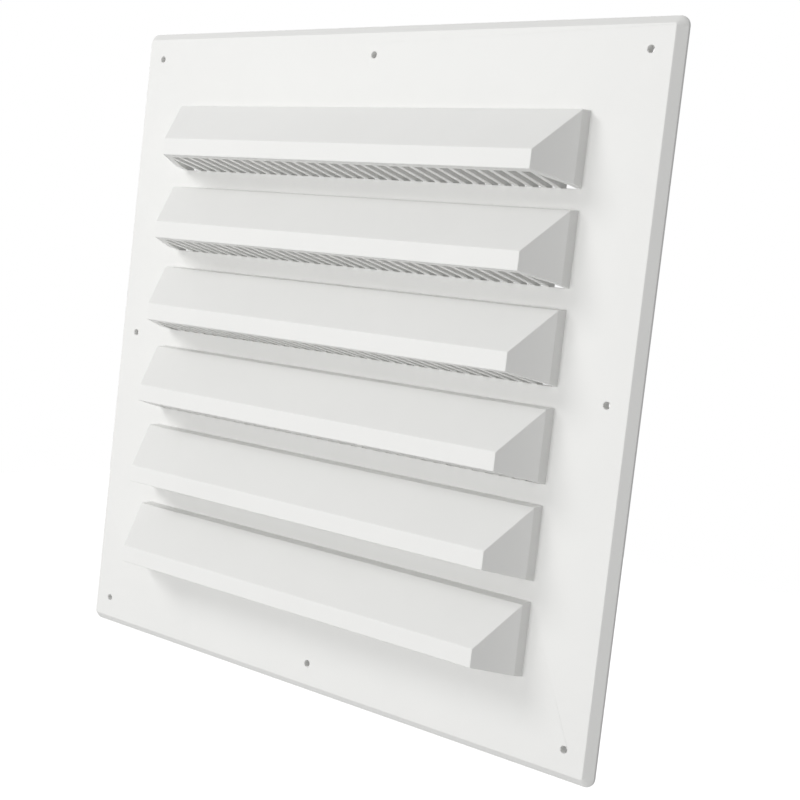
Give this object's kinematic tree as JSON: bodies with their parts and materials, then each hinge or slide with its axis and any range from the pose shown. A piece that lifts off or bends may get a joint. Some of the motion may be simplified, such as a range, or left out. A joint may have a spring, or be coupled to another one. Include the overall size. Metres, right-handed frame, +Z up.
{
  "type": "louvred vent grille",
  "caption": "Square wall vent grille moulded in one piece: bevelled plate, downward hoods with slotted undersides, screw holes round the margin.",
  "frame": {"origin": "middle of the plate's back, on the wall plane", "axes": "+X to the right as seen from the room or street, +Y into the wall, +Z up; the hoods point to -Y and open downwards"},
  "size_m": [0.4, 0.0376, 0.4],
  "materials": {
    "white_plastic": "satin white moulded plastic"
  },
  "bodies": {
    "root": {"grille": "white_plastic"}
  },
  "joints": []
}
